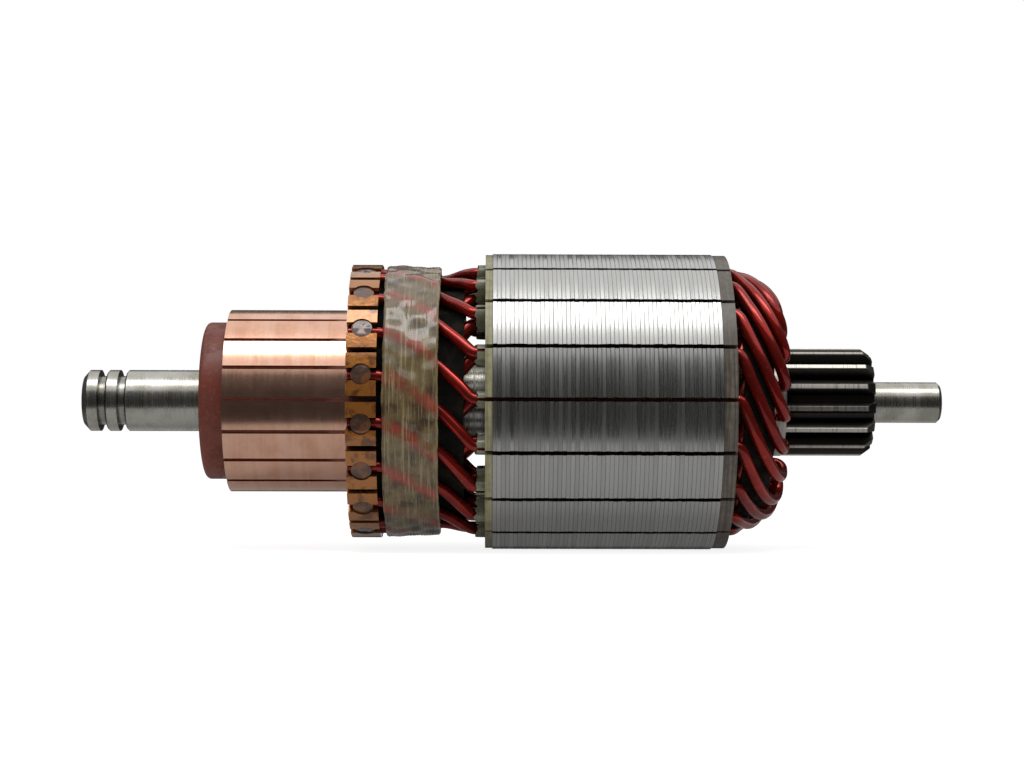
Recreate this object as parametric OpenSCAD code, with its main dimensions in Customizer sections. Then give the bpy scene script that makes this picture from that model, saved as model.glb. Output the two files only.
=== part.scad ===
// Motor armature: a shaft with an integral pinion, a slotted core, a two-layer hairpin wave
// winding and a moulded commutator with slotted risers.
// The shaft lies along X with the commutator towards -X, and the origin is on the shaft's axis
// at the middle of the commutator-end journal. Angles round the shaft start at -Y and turn to -Z.

/* [Shaft] */
// Diameter of the commutator-end journal
journal_d = 12; // [9:0.25:16]
// Length of the commutator-end journal
journal_len = 15.6; // [10:0.2:24]
// Land between the shaft's tip and the first ring groove
tip_land = 3.1; // [2:0.1:5]
// Land between the two ring grooves
groove_land = 2.3; // [1:0.1:4]
// Width of each ring groove
groove_w = 1.5; // [0.8:0.1:2.5]
// Depth of each ring groove
groove_depth = 1.2; // [0.4:0.1:2]
// Chamfer at the shaft's tip, measured along the radius
tip_chamfer = 1.2; // [0.4:0.1:2]
// Radial step from the journal up to the commutator's seat
commutator_seat_step = 1; // [0.5:0.25:2]
// Radial step from the commutator's seat up to the core's seat
core_seat_step = 2; // [1:0.25:3]
// Diameter of the pilot beyond the pinion
pilot_d = 8; // [5:0.5:10]
// Length of the pilot beyond the pinion
pilot_len = 14; // [8:0.1:20]

/* [Pinion] */
// Number of pinion teeth
pinion_teeth = 15; // [12:1:20]
// Module of the pinion teeth
pinion_module = 1.25; // [1:0.05:1.6]
// Length of the teeth at full depth
pinion_len = 14.6; // [8:0.2:24]
// Radius of the run-out that the cutter leaves towards the winding
runout_r = 2.8; // [1:0.1:2.9]
// Distance from the winding's nose to the teeth at full depth
pinion_standoff = 3; // [3:0.1:8]
// Chamfer on the teeth at the pilot end, measured along the radius
tooth_chamfer = 1.3; // [0.5:0.1:2]
// Angle of the first tooth from the first slot
pinion_phase = 7.5; // [0:0.5:24]

/* [Commutator] */
// Diameter of the brush track
commutator_d = 35.7; // [29:0.1:44]
// Length of the brush track
commutator_len = 23.9; // [16:0.1:32]
// Radial thickness of the bars under the track
bar_depth = 5.25; // [4.5:0.05:7]
// Width of the sawn gap between two bars
segment_gap = 0.75; // [0.4:0.05:1.2]
// Depth of the moulding in that gap, below the track
undercut = 0.65; // [0.2:0.05:1]
// Length of the moulded flange in front of the bars
flange_len = 4.8; // [2:0.1:8]
// Radial step from the track down to that flange
flange_step = 2.45; // [1:0.05:3]
// Axial width of the risers
riser_w = 5.7; // [4.4:0.1:8]
// Gap between neighbouring risers
riser_gap = 1.1; // [0.6:0.1:2]
// Copper above the upper lead in a riser
riser_cover = 0.8; // [0.5:0.05:1.5]
// Diameter of the round welding recess in each riser's rim
recess_d = 4; // [3:0.1:4.4]
// Depth of the welding recess
recess_depth = 0.45; // [0.2:0.05:0.5]

/* [Core] */
// Number of slots, which is also that of the bars and the coils
slot_count = 18; // [16:1:20]
// Diameter of the steel core
core_d = 58; // [50:0.5:70]
// Length of the steel core
core_len = 42.7; // [30:0.1:60]
// Steel between a slot and the core's surface
tooth_lip = 2.25; // [1:0.05:3]
// Width of the opening from a slot to the core's surface
slot_opening = 0.8; // [0.4:0.05:1.5]
// Thickness of the end plate towards the commutator
front_plate_t = 1.4; // [0.8:0.1:3]
// Thickness of the end plate towards the pinion
rear_plate_t = 2.6; // [0.8:0.1:4]
// Radial step from the core's surface down to the end plates
plate_step = 0.2; // [0:0.05:1]

/* [Winding] */
// Diameter of the enamelled wire
wire_d = 2.25; // [1.8:0.05:2.8]
// Gap between the two layers of wire, which holds the layer sheets
layer_gap = 0.45; // [0.4:0.05:0.8]
// Gap between neighbouring inner end turns
turn_gap = 0.2; // [0.15:0.05:1]
// Slots that one coil spans
coil_span = 5; // [4:1:5]
// Slot pitches that each lead turns on its way from slot to riser
lead_pitches = 1.5; // [0.5:1:2.5]
// Distance from the risers to the end plate
lead_span = 20.2; // [15:0.1:30]
// Depth of the waist in the leads between the core and the risers
waist_dip = 1.45; // [0.5:0.05:2]
// How much nearer the shaft the leads lie in the risers than in the slots
riser_drop = 0.42; // [0:0.02:1]
// How far the end turns fall as they leave the slots
crest_dip = 0.6; // [0:0.05:1.2]
// Radial drop of the outer end turns from their crest to the nose
nose_drop = 7.7; // [5.5:0.1:8.5]

/* [Insulation] */
// Thickness of the slot liners
liner_t = 0.25; // [0.15:0.05:0.4]
// Width of the lap that is left open along each liner
liner_slit = 0.4; // [0.2:0.05:0.8]
// Reach of the liners beyond the end plate towards the commutator
liner_reach_front = 1.6; // [0.5:0.1:3]
// Reach of the liners beyond the end plate towards the pinion
liner_reach_rear = 0.2; // [0.1:0.1:2]
// Thickness of the sheets between the two layers of wire
sheet_t = 0.25; // [0.1:0.05:0.3]
// Width of the binding band
band_w = 10.9; // [6:0.1:13]
// Distance from the risers to the binding band
band_standoff = 0.8; // [0.4:0.1:2]
// Radial step from the risers' rim down to the band
band_step = 0.2; // [0:0.05:0.4]
// Radial fall of the band over its width
band_fall = 0.3; // [0:0.05:0.6]

/* [Hidden] */
$fn = 96;
// Running gap at press fits, and gaps of the wire and the liner to what holds them
press_fit = 0.02;
wire_fit = 0.05;
liner_fit = 0.03;
band_fit = 0.1;
// How far cuts run past what they cut
past = 1;

// Shaft radii
journal_r = journal_d / 2;
seat_r = journal_r + commutator_seat_step;
core_seat_r = seat_r + core_seat_step;
pilot_r = pilot_d / 2;
edge_break = 0.3;
pilot_chamfer = 0.6;
chamfer_run = 1.4;

// Pinion, from its module: 20 degree pressure angle, full-depth teeth
pressure_angle = 20;
pitch_r = pinion_module * pinion_teeth / 2;
base_r = pitch_r * cos(pressure_angle);
tip_r = pitch_r + pinion_module;
root_r = pitch_r - 1.25 * pinion_module;

// Wire and slot radii
wire_r = wire_d / 2;
layer_step = wire_d + layer_gap;
slot_pitch = 360 / slot_count;
core_r = core_d / 2;
slot_w = wire_d + 2 * (wire_fit + liner_t + liner_fit);
slot_top_r = core_r - tooth_lip;
slot_floor_r = slot_top_r - slot_w - layer_step;
slot_wire_r = slot_top_r - slot_w / 2;

// Risers, which take the same two leads a little nearer the shaft
riser_wire_r = slot_wire_r - riser_drop;
riser_r = riser_wire_r + wire_r + riser_cover;
riser_slot_w = wire_d + 3 * wire_fit;
track_r = commutator_d / 2;

// Stations along the shaft
tip_x = -journal_len / 2 - tip_land - groove_land - 2 * groove_w;
hub_x = journal_len / 2;
bar_x = hub_x + flange_len;
riser_x = bar_x + commutator_len;
riser_end_x = riser_x + riser_w;
band_x = riser_end_x + band_standoff;
front_plate_x = riser_end_x + lead_span;
core_x = front_plate_x + front_plate_t;
core_end_x = core_x + core_len;
rear_plate_end_x = core_end_x + rear_plate_t;
liner_x = front_plate_x - liner_reach_front;
liner_end_x = rear_plate_end_x + liner_reach_rear;

// Leads: they stay straight in riser and slot, and bend over this half length at each end
lead_bend = 0.8;
lead_turn = lead_pitches * slot_pitch;
lead_slot_x = liner_x - lead_bend;
lead_riser_x = riser_end_x + lead_bend;
lead_bow = 0.6;
waist_start = 0.38;
waist_end = 0.65;
waist_r = slot_wire_r - waist_dip;

// End turns: a quarter ellipse whose reach lets the inner turns pass each other with turn_gap
turn_bend = 0.7;
half_span = coil_span * slot_pitch / 2;
turn_x = liner_end_x + turn_bend;
crest_r = slot_wire_r - crest_dip;
nose_r = crest_r - nose_drop;
inner_crest_r = crest_r - layer_step;
inner_arc = inner_crest_r * slot_pitch * PI / 180;
inner_run = inner_crest_r * half_span * PI / 180;
inner_reach = inner_run / sqrt(pow(inner_arc / (wire_d + turn_gap), 2) - 1);
turn_reach = inner_reach + layer_step;
nose_x = turn_x + turn_reach + wire_r;
crest_blend = 16;

// Pinion and pilot follow the nose of the winding
teeth_x = nose_x + pinion_standoff;
teeth_end_x = teeth_x + pinion_len;
shaft_end_x = teeth_end_x + pilot_len;

function tag(i) = str(i < 10 ? "0" : "", i);

// ---- helpers ----

// Turns children to the angle a round the shaft; they are drawn on the +Z side
module around(a) rotate([90 + a, 0, 0]) children();

// Revolves a section drawn as [radius, x] round the shaft
module turned() rotate([0, 90, 0]) rotate_extrude() children();

// The same over one slot pitch, centred on +Z
module turned_pitch() rotate([0, 90, 0]) rotate([0, 0, 180 - slot_pitch / 2])
    rotate_extrude(angle = slot_pitch) children();

// Extrudes an outline drawn as [across, radius] along the shaft from x0 to x1
module along(x0, x1) translate([x0, 0, 0]) rotate([90, 0, 90])
    linear_extrude(x1 - x0) children();

// Upright outline with round ends, from radius r0 to r1
module round_slot(w, r0, r1) {
    translate([0, r0 + w / 2]) circle(d = w);
    translate([0, r1 - w / 2]) circle(d = w);
    translate([-w / 2, r0 + w / 2]) square([w, r1 - r0 - w]);
}

// ---- shaft ----

// Involute function, in degrees
function involute(a) = tan(a) * 180 / PI - a;

// Half the angle of a tooth at radius r
function tooth_half(r) =
    90 / pinion_teeth + involute(pressure_angle) - involute(r > base_r ? acos(base_r / r) : 0);

// Outline of one gap between teeth, drawn outwards as [across, radius]
module tooth_gap() {
    flank = [for (k = [0:5]) base_r + (tip_r - base_r) * k / 5];
    radii = concat([root_r], flank, [tip_r + past]);
    side = [for (r = radii) [r, 180 / pinion_teeth - tooth_half(min(r, tip_r))]];
    right = [for (s = side) [s[0] * sin(s[1]), s[0] * cos(s[1])]];
    left = [for (k = [len(right) - 1:-1:0]) [-right[k][0], right[k][1]]];
    polygon(concat(right, left));
}

module shaft_section() polygon([
    [0, tip_x],
    [journal_r - tip_chamfer, tip_x],
    [journal_r, tip_x + 0.9 * tip_chamfer],
    [journal_r, tip_x + tip_land],
    [journal_r - groove_depth, tip_x + tip_land],
    [journal_r - groove_depth, tip_x + tip_land + groove_w],
    [journal_r - edge_break, tip_x + tip_land + groove_w],
    [journal_r, tip_x + tip_land + groove_w + edge_break],
    [journal_r, -journal_len / 2 - groove_w],
    [journal_r - groove_depth, -journal_len / 2 - groove_w],
    [journal_r - groove_depth, -journal_len / 2],
    [journal_r - edge_break, -journal_len / 2],
    [journal_r, -journal_len / 2 + edge_break],
    [journal_r, hub_x],
    [seat_r, hub_x],
    [seat_r, riser_end_x + past],
    [core_seat_r, riser_end_x + past + core_seat_step],
    [core_seat_r, rear_plate_end_x],
    [tip_r, rear_plate_end_x],
    [tip_r, teeth_end_x - chamfer_run * tooth_chamfer],
    [tip_r - tooth_chamfer, teeth_end_x],
    [pilot_r + edge_break, teeth_end_x],
    [pilot_r, teeth_end_x + edge_break],
    [pilot_r, shaft_end_x - pilot_chamfer],
    [pilot_r - pilot_chamfer, shaft_end_x],
    [0, shaft_end_x]
]);

// Solid that holds the teeth up to full depth: its end is the cove left by the cutter
module runout() turned() difference() {
    translate([0, teeth_x - runout_r - past]) square([tip_r + 2 * past, runout_r + past]);
    translate([root_r + runout_r, teeth_x]) circle(r = runout_r);
    translate([root_r + runout_r, teeth_x - runout_r]) square([2 * tip_r, 2 * runout_r]);
}

module shaft() color("#8b8a80") difference() {
    turned() shaft_section();
    difference() {
        for (k = [1:pinion_teeth])
            around(pinion_phase + (k + 0.5) * 360 / pinion_teeth)
                along(teeth_x - runout_r, teeth_end_x + past) tooth_gap();
        runout();
    }
}

// ---- commutator ----

// Dovetail foot by which the moulding holds the bars
foot_top_r = track_r - 0.58 * bar_depth;
foot_mid_r = track_r - 0.77 * bar_depth;
foot_r = track_r - bar_depth;
foot_in = 2.2;
foot_out = 0.8;

// Section of a bar with its riser, as [radius, x]
module bar_section() polygon([
    [track_r, bar_x],
    [track_r, riser_x],
    [riser_r, riser_x],
    [riser_r, riser_end_x],
    [foot_top_r, riser_end_x],
    [foot_mid_r, riser_end_x - foot_in],
    [foot_r, riser_end_x - foot_out],
    [foot_r, bar_x + foot_out],
    [foot_mid_r, bar_x + foot_in],
    [foot_top_r, bar_x]
]);

// Slab between two bars, from radius r0 to r1
module slab(w, r0, r1) translate([bar_x - past, -w / 2, r0])
    cube([riser_end_x - bar_x + 2 * past, w, r1 - r0]);

module commutator_bar(i) color("#b8763f") around((i - 0.5) * slot_pitch) difference() {
    turned_pitch() bar_section();
    for (side = [-0.5, 0.5]) rotate([side * slot_pitch, 0, 0]) {
        slab(segment_gap, 0, track_r);
        slab(riser_gap, track_r, riser_r + past);
    }
    along(riser_x - past, riser_end_x + past)
        round_slot(riser_slot_w, riser_wire_r - layer_step - riser_slot_w / 2, riser_r + 2 * past);
    translate([riser_x + riser_w / 2, 0, riser_r - recess_depth])
        cylinder(d = recess_d, h = recess_depth + past);
}

// Section of the moulding under the bars, as [radius, x]
module hub_section() {
    flange_r = track_r - flange_step;
    rounding = 0.9;
    edge = [for (a = [0:15:90])
        [flange_r - rounding * (1 - sin(a)), hub_x + rounding * (1 - cos(a))]];
    polygon(concat([[seat_r + press_fit, hub_x]], edge, [
        [flange_r, bar_x],
        [foot_top_r, bar_x],
        [foot_mid_r, bar_x + foot_in],
        [foot_r, bar_x + foot_out],
        [foot_r, riser_end_x - foot_out],
        [foot_mid_r, riser_end_x - foot_in],
        [foot_top_r, riser_end_x],
        [seat_r + press_fit, riser_end_x]
    ]));
}

// Web of the moulding between two bars: the saw's run-out lifts it to the track at the riser
module web() {
    saw_end = 5;
    saw_run = 3;
    inset = 0.3;
    web_r = track_r - undercut;
    rotate([90, 0, 0]) translate([0, 0, -segment_gap / 2]) linear_extrude(segment_gap) polygon([
        [bar_x + inset, foot_r - past],
        [bar_x + inset, web_r],
        [riser_x - saw_end, web_r],
        [riser_x - saw_end + saw_run, track_r],
        [riser_end_x - inset, track_r],
        [riser_end_x - inset, foot_r - past]
    ]);
}

module commutator_hub() color("#7a3b26") {
    turned() hub_section();
    for (i = [1:slot_count]) around(i * slot_pitch) web();
}

// ---- core ----

module slot_outline() {
    round_slot(slot_w, slot_floor_r, slot_top_r);
    translate([-slot_opening / 2, slot_wire_r]) square([slot_opening, tooth_lip + slot_w]);
}

// Slotted ring on the core's seat, with the outer radius r
module slotted_ring(r, x0, x1) difference() {
    turned() translate([core_seat_r + press_fit, x0])
        square([r - core_seat_r - press_fit, x1 - x0]);
    for (i = [1:slot_count]) around(i * slot_pitch) along(x0 - past, x1 + past) slot_outline();
}

module core_stack() color("#a9a9a6") slotted_ring(core_r, core_x, core_end_x);

module front_end_plate() color("#8d8a55")
    slotted_ring(core_r - plate_step, front_plate_x, core_x);

module rear_end_plate() color("#4c4238")
    slotted_ring(core_r - plate_step, core_end_x, rear_plate_end_x);

module slot_liners() color("#b9bda2") for (i = [1:slot_count]) around(i * slot_pitch)
    along(liner_x, liner_end_x) difference() {
        round_slot(slot_w - 2 * liner_fit, slot_floor_r + liner_fit, slot_top_r - liner_fit);
        round_slot(wire_d + 2 * wire_fit, slot_floor_r + liner_fit + liner_t,
            slot_top_r - liner_fit - liner_t);
        translate([-liner_slit / 2, slot_wire_r]) square([liner_slit, slot_w]);
    }

// ---- winding ----

function smooth(t) = let (u = max(0, min(1, t))) u * u * (3 - 2 * u);

// Ramp that leaves 0 over the bend from -w to w and then runs at slope 1
function ramp(u, w) = u <= -w ? 0 : u >= w ? u : (u + w) * (u + w) / (4 * w);

// Radius of the outer layer's leads at x
function lead_radius(x) =
    let (t = (x - riser_end_x) / (liner_x - riser_end_x))
    waist_r + (riser_wire_r - waist_r) * (1 - smooth(t / waist_start))
        + (slot_wire_r - waist_r) * smooth((t - waist_end) / (1 - waist_end));

// Angle that a lead has turned at x on its way from the slot to the riser
function lead_angle(x) =
    let (
        run = lead_slot_x - lead_riser_x,
        u = ramp(lead_slot_x - x, lead_bend),
        t = 1 - ramp(run - u, lead_bend) / run
    )
    lead_turn * t * (1 + lead_bow * (1 - t));

// Stations of a lead along the shaft, from its end in the riser to the slot
lead_stations = concat(
    [riser_x + edge_break, riser_end_x, lead_riser_x, lead_riser_x + lead_bend],
    [for (k = [1:3]) lead_riser_x + lead_bend + (lead_slot_x - lead_riser_x - 2 * lead_bend) * k / 4],
    [lead_slot_x - lead_bend, lead_slot_x, liner_x]
);

// Lead of one layer as [x, radius, angle], the layer lying drop below the outer one
function lead(drop) = [for (x = lead_stations) [x, lead_radius(x) - drop, -lead_angle(x)]];

// Point of an end turn at the ellipse's parameter a
function turn_point(drop, a) =
    let (u = (turn_reach - drop) * sin(a))
    [
        turn_x + u,
        nose_r + (nose_drop - drop) * cos(a) + crest_dip * (1 - smooth(a / crest_blend)),
        half_span * ramp(u, turn_bend) / (turn_reach - drop)
    ];

// End turn of one layer, from its slot to the nose
turn_steps = 7;
function turn(drop) =
    let (bend_angle = asin(turn_bend / (turn_reach - drop)))
    concat(
        [[turn_x - turn_bend, slot_wire_r - drop, 0], turn_point(drop, 0)],
        [for (k = [0:turn_steps]) turn_point(drop, bend_angle + (90 - bend_angle) * k / turn_steps)]
    );

// Loop at the nose, where the wire dives from the outer layer to the inner one
nose_loop = [for (a = [45:45:135]) [
    turn_x + turn_reach - layer_step / 2 + layer_step / 2 * cos(a),
    nose_r - layer_step / 2 * sin(a),
    half_span
]];

// The same stretch on the returning side of the coil, run backwards
function returned(points) =
    [for (k = [len(points) - 1:-1:0]) [points[k][0], points[k][1], 2 * half_span - points[k][2]]];

// Whole coil as [x, radius, angle]
coil_route = concat(
    lead(0), turn(0), nose_loop, returned(turn(layer_step)), returned(lead(layer_step))
);

function place(p) = [p[0], -p[1] * cos(p[2]), -p[1] * sin(p[2])];
function unit(v) = v / norm(v);

// Ring of points round the route at station k, with one axis kept along the shaft's circumference
wire_sides = 8;
function wire_ring(route, k) =
    let (
        p = place(route[k]),
        t = unit(place(route[min(k + 1, len(route) - 1)]) - place(route[max(k - 1, 0)])),
        side = [0, sin(route[k][2]), -cos(route[k][2])],
        n = unit(side - (side * t) * t),
        b = cross(t, n)
    )
    [for (j = [0:wire_sides - 1]) let (a = 360 * j / wire_sides) p + wire_r * (cos(a) * n + sin(a) * b)];

// Round wire swept along a route
module wire(route) {
    last = len(route) - 1;
    points = [for (k = [0:last]) each wire_ring(route, k)];
    walls = [
        for (k = [0:last - 1], j = [0:wire_sides - 1])
            let (m = (j + 1) % wire_sides, a = k * wire_sides, b = a + wire_sides)
            [a + j, b + j, b + m, a + m]
    ];
    start = [for (j = [0:wire_sides - 1]) j];
    end = [for (j = [wire_sides - 1:-1:0]) last * wire_sides + j];
    polyhedron(points, concat([start], walls, [end]), convexity = 6);
}

// Hairpin coil: its outer leg lies in slot i
module coil(i) color("#9c2418") rotate([i * slot_pitch, 0, 0]) wire(coil_route);

// ---- sheets between the layers, and the binding band ----

// Closed outline of a wall of thickness t along a line of [radius, x] points, measured radially
function wall(line, t) = concat(
    [for (p = line) [p[0] + t / 2, p[1]]],
    [for (k = [len(line) - 1:-1:0]) [line[k][0] - t / 2, line[k][1]]]
);

// Sleeve between the leads, from the risers to just short of the slots
module front_layer_sheet() color("#20231c") turned() {
    steps = 12;
    short = 2.4;
    line = [for (k = [0:steps]) let (x = riser_end_x + (liner_x - short - riser_end_x) * k / steps)
        [lead_radius(x) - layer_step / 2, x]];
    polygon(wall(line, sheet_t));
}

// Bowl between the end turns, which stops short of the loops at the nose
module rear_layer_sheet() color("#20231c") turned() {
    steps = 9;
    bowl_start = 6;
    bowl_end = 60;
    drops = [(layer_step - sheet_t) / 2, (layer_step + sheet_t) / 2];
    angles = [for (k = [0:steps]) bowl_start + (bowl_end - bowl_start) * k / steps];
    outer = [for (a = angles) turn_point(drops[0], a)];
    inner = [for (k = [steps:-1:0]) turn_point(drops[1], angles[k])];
    polygon([for (p = concat(outer, inner)) [p[1], p[0]]]);
}

module binding_band() color("#8f7340") turned() {
    steps = 8;
    inner = [for (k = [steps:-1:0]) let (x = band_x + band_w * k / steps)
        [lead_radius(x) + wire_r + band_fit, x]];
    band_r = riser_r - band_step;
    polygon(concat(
        [[band_r, band_x], [band_r - band_fall, band_x + band_w]],
        inner
    ));
}

shaft();
commutator_hub();
core_stack();
front_end_plate();
rear_end_plate();
slot_liners();
front_layer_sheet();
rear_layer_sheet();
binding_band();
for (i = [1:slot_count]) {
    commutator_bar(i);
    coil(i);
}
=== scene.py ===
import math

import bpy
import numpy as np
from mathutils import Matrix, Vector


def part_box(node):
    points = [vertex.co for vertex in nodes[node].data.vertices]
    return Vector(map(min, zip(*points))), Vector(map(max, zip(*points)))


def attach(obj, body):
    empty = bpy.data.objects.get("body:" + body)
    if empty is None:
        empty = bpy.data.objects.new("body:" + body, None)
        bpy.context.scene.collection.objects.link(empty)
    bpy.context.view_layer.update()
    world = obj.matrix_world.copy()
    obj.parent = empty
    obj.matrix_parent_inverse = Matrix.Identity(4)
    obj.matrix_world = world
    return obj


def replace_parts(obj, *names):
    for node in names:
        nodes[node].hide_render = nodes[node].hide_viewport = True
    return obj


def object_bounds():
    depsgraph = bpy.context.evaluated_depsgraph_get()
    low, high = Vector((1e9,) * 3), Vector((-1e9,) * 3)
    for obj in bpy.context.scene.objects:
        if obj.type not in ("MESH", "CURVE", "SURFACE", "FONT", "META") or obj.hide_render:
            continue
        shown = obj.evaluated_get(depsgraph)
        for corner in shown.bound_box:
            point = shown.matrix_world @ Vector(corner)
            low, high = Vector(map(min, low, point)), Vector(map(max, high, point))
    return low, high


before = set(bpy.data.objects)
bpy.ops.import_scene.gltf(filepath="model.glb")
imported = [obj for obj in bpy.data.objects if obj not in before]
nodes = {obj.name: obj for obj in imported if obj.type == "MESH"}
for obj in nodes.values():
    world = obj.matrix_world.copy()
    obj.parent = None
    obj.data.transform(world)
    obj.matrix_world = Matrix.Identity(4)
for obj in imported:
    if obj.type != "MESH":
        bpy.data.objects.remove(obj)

# Motor armature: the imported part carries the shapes, and this script adds the fine pieces,
# the finishes, the light and the camera. Lengths in the dictionaries are in millimetres.
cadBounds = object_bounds()
mm = 0.001
tau = 2 * math.pi


def boxMm(node):
    low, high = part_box(node)
    return np.array(low) / mm, np.array(high) / mm


# Stations along the shaft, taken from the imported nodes
slotCount = 18
slotPitch = math.radians(360 / slotCount)
coreLow, coreHigh = boxMm("core_stack")
barHigh = boxMm("commutator_bar_01")[1]
linerLow, linerHigh = boxMm("slot_liners")
bandLow, bandHigh = boxMm("binding_band")
coilHigh = boxMm("coil_01")[1]
print("frame loaded:", len(nodes), "nodes")


# ---- helpers for meshes ----

def smoothStep(t):
    u = np.clip(t, 0, 1)
    return u * u * (3 - 2 * u)


def bendRamp(u, w):
    # 0 before -w, then a parabola up to w, then u itself
    return np.where(u <= -w, 0, np.where(u >= w, u, (u + w) ** 2 / (4 * w)))


def roundPoint(x, radius, angle):
    # x stays, y = -radius cos(angle), z = -radius sin(angle)
    x, radius, angle = np.broadcast_arrays(x, radius, angle)
    return np.stack([x, -radius * np.cos(angle), -radius * np.sin(angle)], -1)


def unit(v):
    return v / np.linalg.norm(v, axis=-1, keepdims=True)


def waves(rng, count, size):
    # Random sines of whole periods round the shaft: amplitude falls with the period's number
    order = rng.integers(1, count, size)
    return order, rng.uniform(0, tau, size), 1 / np.sqrt(order)


def aroundNoise(rng, angle, count=40, size=24):
    # Sum of a_k sin(k angle + phase_k), scaled to about -1 to 1
    order, phase, gain = waves(rng, count, size)
    total = (gain * np.sin(order * angle[..., None] + phase)).sum(-1)
    return total / gain.sum() * 2.5


def gridFaces(rows, cols, wrapRows=False, wrapCols=True):
    # Quads between neighbours on a rows by cols grid
    r = np.arange(rows if wrapRows else rows - 1)[:, None]
    c = np.arange(cols if wrapCols else cols - 1)[None, :]
    rNext, cNext = (r + 1) % rows, (c + 1) % cols
    quads = [r * cols + c, r * cols + cNext, rNext * cols + cNext, rNext * cols + c]
    shape = np.broadcast_shapes(r.shape, c.shape)
    return np.stack([np.broadcast_to(q, shape) for q in quads], -1).reshape(-1, 4)


def meshPiece(name, points, faces, material, sharp=None, attributes=None):
    # Closed mesh from points in millimetres; faces are turned outwards by its signed volume
    mesh = bpy.data.meshes.new(name)
    mesh.from_pydata((np.asarray(points).reshape(-1, 3) * mm).tolist(), [], faces)
    p = np.asarray(points).reshape(-1, 3)
    volume = sum(
        np.einsum("ij,ij->i", p[f[:, 0]], np.cross(p[f[:, k]], p[f[:, k + 1]])).sum()
        for f in [np.array([q for q in faces if len(q) == n]) for n in {len(q) for q in faces}]
        for k in range(1, f.shape[1] - 1)
    )
    if volume < 0:
        mesh.flip_normals()
    mesh.shade_smooth()
    if sharp:
        mesh.set_sharp_from_angle(angle=math.radians(sharp))
    for label, values in (attributes or {}).items():
        layer = mesh.attributes.new(label, "FLOAT", "POINT")
        layer.data.foreach_set("value", np.asarray(values, np.float32).ravel())
    mesh.materials.append(material)
    mesh.update()
    piece = bpy.data.objects.new(name, mesh)
    bpy.context.scene.collection.objects.link(piece)
    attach(piece, "root")
    return piece


def tube(route, radius, sides):
    # Circle carried along route: its first axis stays across the shaft, its second is square to both
    x, r, angle = route.T
    p = roundPoint(x, r, angle)
    tangent = unit(np.gradient(p, axis=0))
    side = np.stack([np.zeros_like(x), np.sin(angle), -np.cos(angle)], -1)
    n = unit(side - (side * tangent).sum(-1, keepdims=True) * tangent)
    b = np.cross(tangent, n)
    a = np.arange(sides) * tau / sides
    ring = np.cos(a)[None, :, None] * n[:, None] + np.sin(a)[None, :, None] * b[:, None]
    points = p[:, None] + radius * ring
    rows = len(route)
    faces = gridFaces(rows, sides).tolist()
    faces.append(list(range(sides))[::-1])
    faces.append([(rows - 1) * sides + k for k in range(sides)])
    return points, faces


# ---- helpers for materials ----

def addNode(tree, kind, inputs=None, **settings):
    made = tree.nodes.new(kind)
    for key, value in settings.items():
        setattr(made, key, value)
    for key, value in (inputs or {}).items():
        if isinstance(value, bpy.types.NodeSocket):
            tree.links.new(value, made.inputs[key])
        else:
            made.inputs[key].default_value = value
    return made


def mathNode(tree, operation, a, b=0.5, c=None, clamp=False):
    inputs = {0: a, 1: b} if c is None else {0: a, 1: b, 2: c}
    return addNode(tree, "ShaderNodeMath", inputs, operation=operation, use_clamp=clamp).outputs[0]


def mapRange(tree, value, low, high, toLow=0.0, toHigh=1.0):
    inputs = {"Value": value, "From Min": low, "From Max": high, "To Min": toLow, "To Max": toHigh}
    return addNode(tree, "ShaderNodeMapRange", inputs, interpolation_type="SMOOTHSTEP").outputs[0]


def mixColour(tree, fac, a, b, blend="MIX"):
    made = addNode(tree, "ShaderNodeMix", data_type="RGBA", blend_type=blend)
    for key, value in ((0, fac), (6, a), (7, b)):
        if isinstance(value, bpy.types.NodeSocket):
            tree.links.new(value, made.inputs[key])
        else:
            made.inputs[key].default_value = (*value, 1) if key else value
    return made.outputs[2]


def noise(tree, vector, scale, detail=3.0, roughness=0.55):
    inputs = {"Vector": vector, "Scale": scale, "Detail": detail, "Roughness": roughness}
    return addNode(tree, "ShaderNodeTexNoise", inputs).outputs[0]


def newGroup(name, inputs, outputs):
    tree = bpy.data.node_groups.new(name, "ShaderNodeTree")
    for label, kind, value in inputs:
        socket = tree.interface.new_socket(label, in_out="INPUT", socket_type=kind)
        if value is not None:
            socket.default_value = value
    for label, kind in outputs:
        tree.interface.new_socket(label, in_out="OUTPUT", socket_type=kind)
    return tree, addNode(tree, "NodeGroupInput"), addNode(tree, "NodeGroupOutput")


def makeTurnedMarks():
    # Lines that a cutter or a stone leaves round the shaft: noise squeezed along it
    tree, source, sink = newGroup(
        "turnedMarks",
        [("Vector", "NodeSocketVector", None), ("Along", "NodeSocketFloat", 3000.0),
         ("Around", "NodeSocketFloat", 40.0)],
        [("Mask", "NodeSocketFloat")])
    along, around = source.outputs["Along"], source.outputs["Around"]
    scale = addNode(tree, "ShaderNodeCombineXYZ", {0: along, 1: around, 2: around}).outputs[0]
    place = addNode(tree, "ShaderNodeVectorMath", {0: source.outputs["Vector"], 1: scale},
                    operation="MULTIPLY")
    tree.links.new(noise(tree, place.outputs[0], 1.0, 4.0, 0.65), sink.inputs["Mask"])
    return tree


def makeMottle():
    # Soft blotches: noise with its middle stretched
    tree, source, sink = newGroup(
        "mottle",
        [("Vector", "NodeSocketVector", None), ("Scale", "NodeSocketFloat", 200.0),
         ("Low", "NodeSocketFloat", 0.4), ("High", "NodeSocketFloat", 0.65)],
        [("Mask", "NodeSocketFloat")])
    fac = noise(tree, source.outputs["Vector"], source.outputs["Scale"], 5.0, 0.6)
    mask = mapRange(tree, fac, source.outputs["Low"], source.outputs["High"])
    tree.links.new(mask, sink.inputs["Mask"])
    return tree


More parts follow.
